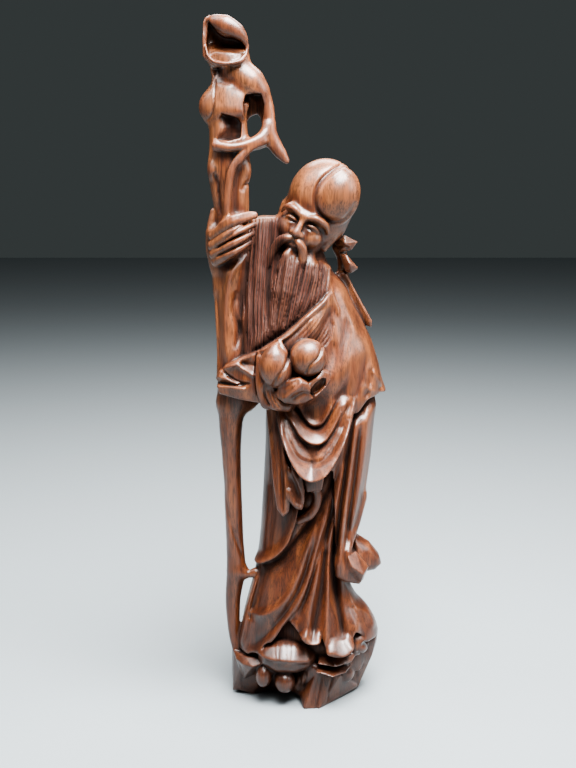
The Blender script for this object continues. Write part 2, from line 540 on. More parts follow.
# Beard and side hair, a broad apron that stands off the chest down to the sleeve's edge. Its locks
# are parted by long gouge strokes, and rounded strands are scored into them with a fine veiner.
BEARD_EDGE = [[-28, -8, 289], [-21.5, -9, 290], [-14, -9, 290], [-9, -10, 292.5], [-6.5, -12, 287.5],
    [-7, -13, 278.5], [-7.5, -14, 271.5], [-2.5, -14, 268.5], [5, -14, 266], [13, -13, 265.5],
    [18, -14, 261.5], [18.5, -20, 248.5], [3.5, -27, 236], [-7.5, -29, 226], [-20, -28, 217],
    [-31.5, -22, 208.5], [-33, -20, 232.5], [-32, -16, 255], [-30.5, -11, 277]]
BEARD_OUTLINE = [[x, z] for x, _, z in BEARD_EDGE]
BEARD_LOCKS = [
    [[-31.5, 282.5], [-32, 265.5], [-32.5, 244], [-33, 208.5]],
    [[-27, 289.5], [-28, 265.5], [-29.5, 244], [-29.5, 209.5]],
    [[-21, 289.5], [-23, 265.5], [-24.5, 244], [-25.5, 212]],
    [[-16.5, 290], [-18, 266], [-19, 244.5], [-20, 216]],
    [[-10.5, 291.5], [-12, 266], [-15, 244.5], [-18, 217]],
    [[-6.5, 278.5], [-9, 260.5], [-11.5, 244.5], [-14.5, 219]],
    [[-3, 269.5], [-5, 257], [-7, 244.5], [-10.5, 223]],
    [[2.5, 267], [0.5, 256], [-1.5, 244.5], [-5.5, 226.5]],
    [[8, 266.5], [7, 256], [4.5, 245.5], [0, 232]],
    [[13.5, 265.5], [12.5, 255.5], [11, 246.5], [7.5, 237.5]],
    [[18.5, 262], [18, 254], [17, 249.5], [16, 246]],
]


# Strands across the locks between guide lines, each drawn from its top down. Their rounded ridges
# differ in height, in no regular order, and are mostly sunk below the surface.
def strands(clay, guides, edge_of, number, depth, fade_over, side=1, middle=0):
    low = [min(p[0] for g in guides for p in g), 0, min(p[1] for g in guides for p in g)]
    high = [max(p[0] for g in guides for p in g), 0, max(p[1] for g in guides for p in g)]
    place, (x, _, z) = clay.window(low, high, 2)
    x, z = x[:, 0, 0], z[0, 0]
    strand = strand_number(guides, number, x, z)
    part = np.floor(strand)
    uneven = 0.75 + 0.35 * np.sin(part * 12.9898 + 1.3) * np.sin(part * 4.1 + 0.4)
    roundness, sunk = 0.8, 0.75
    ridge = np.abs(np.sin(math.pi * strand)) ** roundness - sunk
    edge, _ = outline(edge_of, [0] * len(edge_of), x[:, None], z[None])
    heights = depth * uneven * ridge * share(-edge / fade_over)
    clay.raise_by(heights, place, side, middle)


# Which strand passes each place, counted from the first guide, with a slow wave down its length.
def strand_number(guides, number, x, z, wave_height=0.25, wave_length=7):
    marks = np.arange(len(guides)) * number
    tall = [np.array(sorted((p[1], p[0]) for p in guide), float) for guide in guides]
    across = np.array([np.interp(z, guide[:, 0], guide[:, 1]) for guide in tall])
    strand = np.empty((len(x), len(z)), np.float32)
    for row in range(len(z)):
        wave = wave_height * np.sin(z[row] / wave_length + marks)
        strand[:, row] = np.interp(x, across[:, row], marks + wave)
    return strand


clay.add(cloth(BEARD_EDGE, 24, 2, 5), 1.5)
clay.add(ball([-1, -12, 268], [9, 6, 7]), 1.5)
clay.add(limb([[-4.5, -16, 268.5], [-5.5, -20, 260], [-7.5, -22, 248.5], [-11, -24, 232]],
    [4, 6.5, 8, 6]), 3)
clay.add(limb([[5, -14, 266], [6.5, -18, 257.5], [4.5, -20, 246]], [4, 6, 6]), 3)
clay.relief([
    [[[-16, 290], [-16.5, 272.5], [-18, 250], [-18, 227.5]], -2.2, 1.2, 2],
    [[[-8.5, 268.5], [-11, 250.5], [-13.5, 228]], -1.6, 1.2, 2],
    [[[-0.5, 264], [-4.5, 245], [-9, 230]], -1.6, 1.2, 2],
    [[[9, 264], [5.5, 250.5], [-1, 235.5]], -1.6, 1.2, 2],
    [[[-24, 288], [-26, 266.5], [-27, 244], [-26.5, 218]], -1.6, 1.2, 2],
    [[[-29.5, 265.5], [-30.5, 244], [-30.5, 215]], -1, 2.4, 2.4],
], 1, -6)
strands(clay, BEARD_LOCKS, BEARD_OUTLINE, 2.4, 1.3, 2, 1, -4)


# The head, scraped smooth: tilted to its left and bent forward, with the tall domed brow and a calm
# face.
HEAD_PLACE = [7.5, -6, 292.5]
HEAD_TURN = [12, 25, -14]


def on_head(form):
    return placed(form, HEAD_PLACE, HEAD_TURN)


# Cranium, neck and jaw, then the rounder lobe in front
clay.add(on_head(ball([1.5, 3, 10], [19.8, 19, 22])), 1)
clay.add(on_head(ball([7, 4, -3], [13.5, 15, 13])), 4)
clay.add(limb([[0.5, 0, 279], [-2, 2, 263.5]], [12, 14]), 4)
clay.add(on_head(ball([0, -3.6, -11], [13.8, 14, 14.6])), 3)
clay.add(on_head(ball([10.2, -3.4, 15], [12.8, 13, 17], [0, -6, 0])), 0.8)
# The brow ridge, the chin and the muzzle
clay.add(on_head(limb([[-9, -13, 0.6], [0, -15, 0], [9, -13, 0.6]], [3.2, 2.6, 3.2])), 3)
clay.add(on_head(ball([0, -14.4, -15.4], [6.6, 4.6, 5])), 3)
for side in (-1, 1):
    # Temple and ear with its long lobe, then cheek, eye socket, eye and its lids
    clay.add(on_head(ball([side * 13, -1, -4], [4, 6, 9])), 3)
    clay.add(on_head(limb([[side * 15.6, 1, 2.4], [side * 17, 0.6, -3], [side * 16.2, -0.6, -9],
        [side * 14.8, -2.4, -15.5]], [1.6, 2.2, 2.1, 1.9])), 1.6)
    clay.add(on_head(ball([side * 7.6, -12.6, -10.8], [5.4, 4.6, 4.6])), 3)
    clay.cut(on_head(ball([side * 6.2, -19.4, -3.8], [4.6, 4.6, 3.3])), 2)
    clay.add(on_head(ball([side * 6.2, -12.9, -4.4], [3.9, 3.3, 2.7])), 0.6)
    clay.add(on_head(limb([[side * 2.5, -15.1, -4.9], [side * 4.6, -16.6, -3.6], [side * 7.6, -16.4, -3.4],
        [side * 10.4, -13.8, -5]], [0.6, 0.8, 0.85, 0.6])), 0.5)
    clay.add(on_head(limb([[side * 3, -15.2, -5.9], [side * 6.2, -16.2, -6.9], [side * 9.8, -13.8, -6.1]],
        [0.5, 0.8, 0.5])), 1.2)
    # The thick soft brow, the wing of the nose and half of the moustache
    clay.add(on_head(limb([[side * 2.6, -17, 0.2], [side * 6.4, -17, 1.7], [side * 10.2, -15, 1.2],
        [side * 13.4, -11.6, -1.4], [side * 14.6, -9.6, -4.6]], [1, 1.7, 1.8, 1.5, 0.8])), 1.6)
    clay.add(on_head(ball([side * 2.5, -18.2, -10.4], [1.7, 2, 1.6])), 0.9)
    clay.add(on_head(limb([[side * 0.4, -19, -13.2], [side * 3.6, -19.4, -14.4], [side * 6.6, -18.2, -17.2],
        [side * 8.4, -17.4, -22], [side * 8.8, -18, -29], [side * 8, -19, -37]],
        [1, 2.1, 2.6, 2.6, 2.2, 1])), 0.8)
# Nose, the lower lip and the tuft below it
clay.add(on_head(limb([[0, -15.4, 0.4], [0, -17.4, -4], [0, -19.6, -8.2]], [1.7, 1.5, 1.9])), 1.8)
clay.add(on_head(ball([0, -20.2, -9.8], [2.3, 2.3, 2])), 1.2)
clay.add(on_head(ball([0, -18.1, -17.1], [2.9, 1.7, 1.1])), 0.6)
clay.add(on_head(limb([[0, -17, -19.6], [0, -19, -24], [0, -20.4, -32]], [1.6, 2.8, 2.8])), 0.8)
# The crease round the lobe and the soft fold along it
clay.relief([
    [[[26.5, 320.5], [18.5, 316.5], [11.5, 310.5], [8, 302], [10.5, 293.5], [17.5, 288.5], [24, 289],
        [28.5, 294], [31, 299.5]], -1.5, 1.7, 1.9],
    [[[27.5, 319.5], [20, 315], [14, 309], [10.5, 301.5]], 0.8, 2.4, 1.6],
], 1, -8)


# The ribbon that ties his hair, left standing beside the head: two bows and a long tail with a
# groove down it.
clay.add(stone([[19.5, -1, 276.5], [21.5, -4, 278.5], [26, -5, 279.5], [33.5, -3, 275.5], [30, -4, 271],
    [23.5, -3, 269.5], [26, -8, 275], [21, 7, 274], [27.5, 8, 277.5], [33.5, 7, 274], [29.5, 7, 270.5],
    [23, 6, 269.5]]), 0.5)
clay.add(stone([[23, -2, 269], [27, -4, 268.5], [34, -3, 260.5], [30, -3, 257.5], [26.5, -3, 258.5],
    [29, -7, 263.5], [24.5, 7, 266.5], [28, 7, 266.5], [34, 6, 259], [29.5, 6, 256.5]]), 0.5)
clay.add(limb([[23, 3, 272], [25, 6, 265.5], [25.5, 7, 259.5], [26.5, 7, 251.5]],
    [4, 3.2, 2.8, 3], 0.8), 0.8)
clay.add(limb([[24, 6, 255], [29.5, 7, 244], [34.5, 8, 234.5], [38.5, 9, 228.5]], [3.4, 3.2, 3, 2.4]), 2)
clay.add(cloth([[24, 2, 258], [27.5, 2, 257], [31.5, 3, 249], [37, 4, 239], [43, 5, 228.5], [43, 6, 224.5],
    [39.5, 6, 225.5], [34, 5, 235.5], [28, 4, 247]], 6.5, 1, 1.2), 0.6)
clay.relief([
    [[[21.5, 272.5], [25.5, 273], [29, 272]], -0.8, 1, 1],
    [[[26.5, 254.5], [33, 242], [41, 227.5]], -0.9, 1.2, 1.2],
], 1, 6)


# The drape of the left sleeve hangs in swags below the forearm, deeply undercut, with two ends
# beside it.
clay.add(limb([[27, -10, 212.5], [14.5, -18, 200], [-2, -23, 193.5]], [12, 13, 11]), 4)
swag = cloth([[-14, -26, 186], [31.5, -21, 187.5], [32, -23, 181], [30, -24, 174.5], [26.5, -27, 166],
    [23, -30, 157], [18.5, -33, 151], [13, -35, 147.5], [6, -34, 145.5], [1, -34, 148], [-3.5, -33, 154.5],
    [-7.5, -31, 163.5], [-11, -29, 173]], 26, 0, 1)
# It is worked out 14 mm further forward too, because its bands turn out there
clay.add(Form(swag.low - [0, 14, 0], swag.high, swag.distance), 1.6)
# The two hanging ends, the plane under the swag and the curl beside it
clay.add(cloth([[-19.5, -18, 182], [-9, -24, 183.5], [-7, -27, 164], [-6, -29, 147], [-5, -31, 129.5],
    [-6, -31, 122], [-9.5, -31, 119], [-13, -30, 123.5], [-15.5, -27, 140.5],
    [-17.5, -22, 163]], 15, 1.2), 0.5)
clay.add(cloth([[-9, -29, 157.5], [-3.5, -34, 148], [1, -35, 145], [3, -34, 135], [2.5, -34, 127.5],
    [1.5, -34, 124], [-2, -34, 125.5], [-6.5, -33, 130], [-8.5, -31, 141.5]], 10, 1), 0.5)
clay.add(cloth([[0.5, -30, 147], [15, -30, 147], [13, -29, 134.5], [4, -30, 133.5]], 14, 0.5, 1), 0.5)
clay.add(limb([[6, -25, 136], [10, -26, 133], [10, -25.5, 126], [6, -25.5, 119], [0, -24, 115]],
    [2.6, 2.6, 2.6, 2.8, 2.4]), 0.6)
clay.add(ball([7, -20, 127.5], [6, 5, 8]), 1)
clay.relief([
    # The pouch below the arm, then two swags: each turns out in a band that faces up, and drops
    [[[-1.5, 187.5], [2.5, 178], [7.5, 173.5], [12.5, 174.5], [17, 181], [20.5, 188.5]], 1.8, 4, 1.2],
    [[[-3, 186], [2, 176], [7, 171], [12, 171], [16, 176.5], [20.5, 186]], -2.2, 1.6, 2],
    [[[-9, 185], [-2.5, 173.5], [2, 167], [7.5, 164], [13, 164.5], [17.5, 170], [22, 178],
        [27.5, 188.5]], 5, 6.5, 1.4, True],
    [[[-10.5, 177.5], [-6.5, 166], [-1.5, 157], [3.5, 153.5], [9.5, 153], [15, 156], [20.5, 163], [25, 172],
        [29, 184.5]], -1.5, 2, 3],
    [[[-13, 179.5], [-9.5, 166], [-5.5, 156], [-1.5, 149], [2.5, 145], [6.5, 143.5], [10.5, 144.5],
        [15, 147.5], [19.5, 153.5], [23.5, 160.5], [27.5, 170], [32, 189]], 9.8, 10, 0.8, True],
    [[[-15.5, 182], [-13, 158.5], [-11, 121.5]], 1, 1.4, 1.4],
    [[[-13.5, 182], [-10.5, 152.5], [-9, 121.5]], -1.4, 1.3, 1.5],
    [[[-10.5, 180.5], [-9, 155.5], [-7, 124]], 1, 1.4, 1.4],
    [[[-10.5, 169], [-7.5, 156], [-3, 141.5], [0.5, 130]], -1.8, 1.8, 2.4],
    [[[-9, 165.5], [-5, 150.5], [0.5, 137.5], [2.5, 128]], 1, 1.3, 1.3],
    [[[-6.5, 137.5], [-3, 128.5], [2, 125.5]], 1.4, 1.6, 3],
], 1, -12)


# The gnarled head of the staff, above his hand: a hollow hood, a swollen neck, a burl, and a branch
# that comes back as a root, with the wood pierced between them.
clay.add(limb([[-40, -8, 248.5], [-39, -9, 277], [-38.5, -10, 294], [-39.5, -11, 306.5], [-40, -11, 317.5],
    [-39.5, -11, 328.5], [-40, -11, 343], [-39, -11, 357.5], [-38.5, -10, 368.5], [-39, -10, 375.5]],
    [9.5, 9.6, 9.8, 10.8, 12, 11.3, 10.6, 10, 10.6, 11.4], 0.8), 1.5)
# The hood: a hollow mouth under a thick roof, with a bright scoop of a floor
clay.add(stone([[-50, -13, 400.5], [-53, -16, 396.5], [-53.5, -17, 386.5], [-53.5, -17, 378],
    [-49, -16, 374], [-30, -14, 376], [-28.5, -14, 383], [-34, -14, 391.5], [-43.5, -14, 398.5],
    [-50.5, -8, 399.5], [-54, -3, 393], [-53.5, -2, 377], [-29.5, 0, 377], [-30.5, -2, 387],
    [-39, -5, 394.5]]), 2)
clay.add(limb([[-50.5, -15, 397.5], [-46, -19, 396.5], [-40.5, -21, 394.5], [-35, -21, 391],
    [-31, -19.5, 387], [-29.5, -17, 383]], [1.4, 3.6, 5, 4.6, 2.6, 1], 0.8), 2)
clay.add(limb([[-51.5, -18, 383], [-50, -19.5, 378.5], [-47, -21, 375.5], [-40.5, -22.5, 373.5],
    [-33.5, -21.5, 375], [-30, -19, 379], [-29, -17, 383.5]], [0.6, 1.2, 1.8, 2.2, 2, 1.2, 0.8]), 2)
clay.cut(cloth([[-50, -18, 397], [-48, -20, 394.5], [-45, -22, 391], [-42, -22, 389], [-37, -22, 388.5],
    [-32.5, -21, 386.5], [-30, -19, 383.5], [-30, -20, 379.5], [-33.5, -21.5, 376], [-40.5, -22.5, 374.5],
    [-47, -21.5, 375.5], [-50.5, -19, 379.5], [-51.5, -18, 385.5]],
    [11, 13, 15, 15, 15, 14, 9, 4, 1.4, 1, 1.4, 4, 9], 0, 1.6, 25), 0.4)
clay.cut(cloth([[-49.5, -20, 372], [-29.5, -19, 373.5], [-31, -18, 365.5], [-40, -18, 361.5],
    [-49, -18, 364]], [9, 7, 4, 2, 4], 0, 1.5, 20), 2)
# The trunk swells out below the neck and ends in a lip over a shaded hollow
clay.add(limb([[-39.5, -8, 361.5], [-39.5, -12.5, 356], [-39.5, -14.5, 350]], [9, 9.4, 8.6], 0.85), 3)
clay.add(limb([[-33.5, -10, 360.5], [-32.5, -15, 355.5], [-32.5, -18, 349]], [5, 4.8, 3.6]), 3.5)
clay.cut(cloth([[-47.5, -21, 338.5], [-45.5, -22, 344], [-43, -24, 347.5], [-38, -24, 346],
    [-34.5, -24, 345], [-32.5, -22, 342], [-32.5, -20, 338], [-33, -20, 334], [-39, -21, 332.5],
    [-46.5, -20, 333]], [1, 4, 8, 10, 10, 8, 7, 7, 7, 3], 0, 1.2, 25), 0.5)
# The burl at the left and the branch at the right, which runs down to a spur
clay.add(ball([-48, -10.5, 351.5], [8.4, 7.2, 9.6], [0, 8, 0]), 5)
clay.add(limb([[-35.5, -11, 370], [-28, -12, 364.5], [-23.5, -12.5, 360]], [9, 8.6, 6.4]), 2.5)
clay.add(limb([[-23.5, -12, 359.5], [-19.5, -11, 353.5], [-17.5, -11, 344], [-17.5, -12, 338.5],
    [-15, -12, 332], [-11, -13, 326], [-7.5, -14, 321.5]], [6.4, 4.4, 3.8, 4.2, 4.2, 3.4, 1.7]), 1.5)
clay.add(cloth([[-30.5, -6, 360.5], [-20, -6, 360.5], [-18.5, -6, 350.5], [-19.5, -6, 343.5],
    [-21.5, -6, 341], [-24, -6, 347], [-27.5, -6, 345.5], [-29.5, -6, 343.5], [-32, -6, 343]], 7), 2)
clay.add(limb([[-18, -12, 340.5], [-21, -13, 333.5], [-28, -15, 331]], [4, 4.6, 4.4]), 2)
clay.cut(cloth([[-24, -12, 347], [-22, -12, 345], [-21.5, -12, 340.5], [-21.5, -12, 337], [-24.5, -12, 334],
    [-28, -12, 334.5], [-29, -12, 340], [-28.5, -12, 345], [-26.5, -12, 346.5]], 40, 0, 1, 40), 1.2)
clay.cut(cloth([[-31.5, -17, 352.5], [-30, -14, 357.5], [-25.5, -13, 358.5], [-21.5, -12, 358],
    [-20, -12, 352.5], [-20.5, -12, 346], [-21.5, -12, 340.5], [-28, -13, 340.5], [-31, -17, 346]],
    [2, 6, 8, 7, 6, 5, 5, 6, 4], 0, 1.2, 30), 0.8)
# The root across and the vine that runs down from it
clay.add(limb([[-46, -21, 330], [-37.5, -22.5, 329], [-30, -21.5, 330.5], [-22, -17, 334],
    [-18, -13, 338.5]], [3, 2.6, 2.4, 3, 3.4]), 0.6)
clay.add(stone([[-48, -22, 333.5], [-45, -23, 333], [-44.5, -23, 327], [-48, -22, 327.5],
    [-48.5, -14, 333.5], [-45, -14, 327]]), 0.8)
clay.add(limb([[-20, -17, 332.5], [-27.5, -20.5, 329], [-33, -22, 323.5], [-37.5, -22.5, 316],
    [-39.5, -22, 307.5], [-40.5, -21.5, 299], [-41, -20, 288]], [2.4, 2.4, 2.5, 2.5, 2.3, 2.2, 2]), 0.8)
clay.add(ball([-34.5, -16, 326], [5, 5, 5]), 1)
clay.add(limb([[-40.5, -15, 299], [-40, -15, 284]], [5, 6]), 1)
# Knobs on the two stems
clay.add(ball([-48.5, -15, 316.5], [3, 4.5, 5.5]), 2)
clay.add(ball([-30, -13, 316], [2.8, 4.5, 6.5]), 1.5)
clay.relief([
    [[[-47, 370.5], [-47, 360], [-47.5, 352], [-49, 346.5], [-52.5, 343]], -0.8, 0.7, 0.7],
    [[[-43, 327.5], [-43.5, 319.5], [-45, 309], [-46, 302.5]], -0.8, 1, 1],
    [[[-48, 315.5], [-46, 309], [-45, 300], [-44, 290]], -1.6, 1.6, 2.2],
    [[[-33.5, 320], [-35, 310], [-36, 300], [-36.5, 291]], -1.8, 2.8, 2.8],
    [[[-28.5, 309], [-31, 308], [-32.5, 304.5]], -1.4, 1.5, 2],
    [[[-46, 363], [-45, 357], [-44.5, 351.5]], -0.3, 1.6, 1.6],
], 1, -12)


# His right sleeve hangs from the raised wrist, in front of the staff, in narrow upright folds.
clay.add(limb([[-33.5, -9, 257], [-33, -9, 237], [-32.5, -10, 216.5]], [5, 5, 5]), 1)
clay.add(cloth([[-49.5, -12, 265], [-38.5, -15, 265], [-30.5, -15, 268.5], [-31.5, -15, 257.5],
    [-34, -15, 243.5], [-33, -16, 226], [-32.5, -18, 213.5], [-33, -18, 190.5], [-46.5, -14, 188.5],
    [-48, -14, 200], [-48, -14, 220], [-49, -13, 243], [-50, -12, 255.5]], 16, 4, 3), 2)
clay.relief([
    [[[-33.5, 267.5], [-39, 258], [-42, 244], [-42.5, 221], [-41, 203.5]], 1.8, 3, 3],
    [[[-47.5, 249.5], [-46, 226.5], [-46.5, 203.5]], -1.2, 2, 2],
    [[[-36, 249.5], [-37.5, 238], [-35, 227], [-36.5, 215]], -1.6, 2, 3],
], 1, -8)


# His right hand: four fingers and the thumb hold the staff.
clay.add(limb([[-44.5, -9, 262], [-46.5, -9, 271.5], [-47.5, -11, 280.5]], [7, 7, 6]), 2)
clay.add(limb([[-49, -10, 275], [-50, -11, 284], [-49, -11, 293.5]], [3.6, 2.8, 1.6]), 1)
clay.add(limb([[-41.5, -15, 275], [-40.5, -16, 284.5], [-32.5, -16, 287.5]], [6, 5.5, 4.5]), 1)
knuckles = [[-48, -16, 280], [-48.5, -16, 274.5], [-48, -15.5, 270], [-47, -14.5, 266]]
middles = [[-37, -25, 288.5], [-36.5, -25.5, 282.5], [-36.5, -25, 277], [-37, -24, 272]]
tips = [[-25.5, -20, 291.5], [-26, -20.5, 286.5], [-27, -20, 281.5], [-28.5, -19.5, 276.5]]
for knuckle, middle, tip in zip(knuckles, middles, tips):
    clay.add(limb([knuckle, middle, tip], [3.6, 3, 2.1]), 0.3)
clay.relief([
    [[[-43.5, 277.5], [-34, 284.5], [-24.5, 289.5]], -1.2, 0.9],
    [[[-48, 272.5], [-36, 279.5], [-25.5, 284.5]], -1.2, 0.9],
    [[[-47.5, 268.5], [-36, 274], [-26.5, 279.5]], -1.2, 0.9],
    [[[-46.5, 286], [-38.5, 291.5], [-25.5, 294]], 0.8, 1.4],
], 1, -16)


# The forearm's sleeve, crossed over the beard, with pleats that fan out below its rim, and the
# folded cuff in front of the staff.
clay.add(cloth([[-21.5, -33, 217.5], [-8.5, -34, 226.5], [3, -32, 236], [12.5, -27, 243.5],
    [18.5, -21, 249], [23, -20, 238], [22, -22, 218.5], [17.5, -26, 199], [0, -32, 189.5],
    [-18, -32, 187.5], [-23.5, -32, 193]], 16, 1, 1), 0.6)
clay.add(cloth([[-48, -20, 199], [-46, -22, 203], [-42, -24, 206.5], [-34, -26, 211], [-23.5, -30, 216.5],
    [-21, -30, 217], [-21.5, -30, 186], [-34, -27, 187.5], [-46, -22, 190]], 12, 2, 1), 0.8)
clay.relief([
    # The rim of the lapel and the pleats that fan out below it
    [[[-23.5, 215.5], [-15.5, 220.5], [-7, 225.5], [3.5, 235.5], [13, 243.5],
        [18.5, 250.5]], 1.4, 0.9, 2.6],
    [[[-19, 216], [-5.5, 224.5], [4.5, 233.5], [14.5, 242]], -1, 1, 1.4],
    [[[16.5, 245], [9, 235], [0, 224.5]], -0.9, 0.9, 0.9],
    [[[16.5, 243.5], [10, 233.5], [2, 223.5]], -0.9, 0.9, 0.9],
    [[[17, 241.5], [11.5, 231.5], [4, 222.5]], -0.9, 0.9, 0.9],
    [[[17.5, 239.5], [12.5, 230], [6, 221.5]], -0.9, 0.9, 0.9],
    [[[18, 237.5], [13.5, 228.5], [8, 220.5]], -0.9, 0.9, 0.9],
    [[[18.5, 235.5], [14.5, 226.5], [9.5, 219.5]], -0.9, 0.9, 0.9],
    [[[18.5, 233.5], [16, 225], [11.5, 219]], -0.9, 0.9, 0.9],
    [[[19, 232], [17, 223], [13.5, 218]], -0.9, 0.9, 0.9],
    # The folds of the cuff
    [[[-43, 205.5], [-35, 209.5], [-24.5, 214.5]], 1, 1, 1.6],
    [[[-34, 208.5], [-28, 208.5], [-24, 207.5]], -1.6, 3, 3],
    [[[-41, 205], [-36, 208], [-30.5, 205], [-24, 201.5]], 1.8, 1.6, 2.4],
    [[[-44.5, 204.5], [-38.5, 199.5], [-33.5, 197.5], [-27.5, 197.5]], -1.8, 1.2, 1.5],
    [[[-47.5, 200], [-41, 199], [-33.5, 196.5]], 1.6, 1.6, 1.6],
    [[[-48, 196.5], [-39.5, 196], [-30, 196]], -1.8, 1.1, 1.1],
    [[[-48, 194], [-39.5, 195], [-30, 194.5]], 1.4, 1, 3],
    [[[-24, 215.5], [-24.5, 204.5], [-23.5, 191.5]], -2, 1, 1.2],
    [[[-22.5, 215], [-22.5, 202.5], [-22, 188.5]], 1, 1, 1],
], 1, -14)


# Two peaches with two leaves, held in his left hand at the very front of the block.
clay.add(ball([-13.5, -37, 208], [9.3, 9, 11.6], [0, -8, 0]), 0.3)
clay.add(limb([[-14, -38, 213.5], [-14, -38, 218], [-12.5, -37, 222]], [6.4, 3.6, 0.9]), 1.6)
clay.add(ball([4.5, -36, 213.5], [10.5, 9.4, 10.8], [0, 8, 0]), 0.3)
clay.add(limb([[-11.5, -35, 223], [-9, -37, 218], [-6, -37, 214]], [1.2, 1.6, 1]), 0.5)
# The palm behind the peaches and the fingers below them, then the leaves
clay.add(ball([-2, -32, 198], [13, 5.4, 8]), 1)
clay.add(ball([4, -30, 211], [10, 6.4, 10]), 1)
clay.add(limb([[-22, -31, 212.5], [-21.5, -33, 197.5], [-18, -33, 187.5]], [2.6, 3.4, 4.4]), 0.6)
clay.add(limb([[-18, -35, 197], [-14, -35, 188], [-7.5, -34, 185.5]], [4.4, 4.4, 3.4]), 0.8)
clay.add(cloth([[-14, -39, 194], [-11, -41, 199], [-5.5, -43, 202], [0, -43, 203.5], [4.5, -43, 200.5],
    [7, -42, 195.5], [7.5, -40, 191], [3, -41, 188.5], [-2, -41, 187.5], [-8.5, -41, 188.5],
    [-12, -40, 191]], 8, 2, 1), 0.4)
clay.add(cloth([[4, -41, 199.5], [9, -41, 203], [13, -38, 207], [16.5, -37, 205], [17, -37, 201],
    [14, -38, 196], [8.5, -40, 191.5], [4.5, -41, 194.5]], 8, 1, 0.8), 0.3)
clay.cut(cloth([[5.5, -41, 196], [8.5, -41, 200], [12, -41, 202.5], [14.5, -40, 202], [14.5, -40, 198],
    [10.5, -40, 194], [8, -41, 192.5]], 6, 0, 0.8, 20), 0.3)
clay.relief([
    # Clefts of the peaches
    [[[-5.5, 217], [-8.5, 209.5], [-12.5, 204], [-15, 197]], -1.3, 1, 1.3],
    [[[13, 223.5], [10.5, 215.5], [5, 210], [3, 205]], -1.3, 1, 1.3],
    # Fingers
    [[[-20, 199], [-19.5, 192], [-16.5, 186]], -1.3, 0.8],
    [[[-18, 197], [-16.5, 191], [-13.5, 184.5]], -1.3, 0.8],
    [[[-15.5, 196], [-14.5, 190.5], [-10.5, 184.5]], -1.2, 0.8],
    # The curled leaf
    [[[-9.5, 190.5], [-5, 194.5], [-0.5, 199], [1.5, 202.5]], 1.6, 1.4, 4],
    [[[-5, 191], [0.5, 194.5], [4.5, 194.5], [7.5, 191.5]], -1.2, 1.2, 2.4],
    [[[-9, 197], [-5, 200], [-1, 202]], -0.6, 1, 1],
], 1, -30)

# The foot of the block is sawn off flat
clay.cut(Form(BLOCK_LOW, [*BLOCK_HIGH[:2], 0], lambda x, y, z: z + 0 * x + 0 * y), 0)


# The carved figure: the skin of the whole block, scraped and sanded, then oiled and waxed. It is
# one piece of wood and one mesh, which stands in for the plain solid.
MOST_FACES = 196000


# How much wood is near each sample of the grid, from 0 to 1, averaged over cubes of a width.
def nearby_wood(value, pitch, width):
    wood = share(0.5 - value / pitch).astype(np.float32)
    half = max(1, round(width / pitch / 2))
    for axis in range(3):
        for _ in range(2):
            total = np.cumsum(np.moveaxis(wood, axis, 0), axis=0, dtype=np.float32)
            count = len(total)
            upper = total[np.minimum(np.arange(count) + half, count - 1)]
            lower = np.arange(count) - half - 1
            lower = np.where((lower >= 0)[:, None, None], total[np.maximum(lower, 0)], 0)
            wood = np.moveaxis((upper - lower) / (2 * half + 1), 0, axis)
    return wood


# A value of the grid read at points, smooth between its samples.
def read_grid(grid, low, pitch, points):
    place = (points - low) / pitch
    first = np.clip(place.astype(int), 0, np.array(grid.shape) - 2)
    part = place - first
    total = np.zeros(len(points))
    for corner in range(8):
        step = [corner >> axis & 1 for axis in range(3)]
        weight = np.prod([part[:, a] if step[a] else 1 - part[:, a] for a in range(3)], axis=0)
        total += weight * grid[first[:, 0] + step[0], first[:, 1] + step[1], first[:, 2] + step[2]]
    return total


# The skin of the field: points and faces of its largest closed surface, with the faces outwards.
def skin(clay):
    volume = openvdb.FloatGrid(FAR)
    volume.copyFromArray(clay.value, tolerance=0)
    points, _, quads = volume.convertToPolygons(isovalue=0.0, adaptivity=0.0)
    points = points * clay.pitch + clay.low
    group = np.arange(len(points))
    while True:
        lowest = group[quads].min(axis=1)
        following = group.copy()
        np.minimum.at(following, quads.ravel(), np.repeat(lowest, 4))
        following = following[following]
        if (following == group).all():
            break
        group = following
    names, sizes = np.unique(group[quads[:, 0]], return_counts=True)
    quads = quads[group[quads[:, 0]] == names[sizes.argmax()]]
    used, faces = np.unique(quads, return_inverse=True)
    points, faces = points[used], faces.reshape(-1, 4)
    a, b, c, d = (points[faces[:, n]] for n in range(4))
    if np.einsum("ij,ij->", np.cross(c - a, d - b), a) < 0:
        faces = faces[:, ::-1]
    return points, faces


points, faces = skin(clay)
# What lies within 0.3 mm of the floor is set flat on it
points[:, 2] = np.where(points[:, 2] < 0.3, 0, points[:, 2])
mesh = bpy.data.meshes.new("figure")
mesh.vertices.add(len(points))
mesh.vertices.foreach_set("co", (points * MM).astype(np.float32).ravel())
mesh.loops.add(faces.size)
mesh.loops.foreach_set("vertex_index", faces.astype(np.int32).ravel())
mesh.polygons.add(len(faces))
mesh.polygons.foreach_set("loop_start", np.arange(0, faces.size, 4, dtype=np.int32))
mesh.update(calc_edges=True)
mesh.validate()
rough = bpy.data.objects.new("figure_rough", mesh)
bpy.context.scene.collection.objects.link(rough)
thin = rough.modifiers.new("thin", "DECIMATE")
thin.ratio = min(1, MOST_FACES / (2 * len(faces)))
carved = bpy.data.meshes.new_from_object(rough.evaluated_get(bpy.context.evaluated_depsgraph_get()))
bpy.data.objects.remove(rough)
carved.name = "figure_carved"
figure = bpy.data.objects.new("figure_carved", carved)
bpy.context.scene.collection.objects.link(figure)
carved.shade_smooth()


# Gives every point of the carved mesh a number under a name, for the material to read.
def write_marks(name, numbers):
    carved.attributes.new(name, "FLOAT", "POINT").data.foreach_set("value", numbers.astype(np.float32))


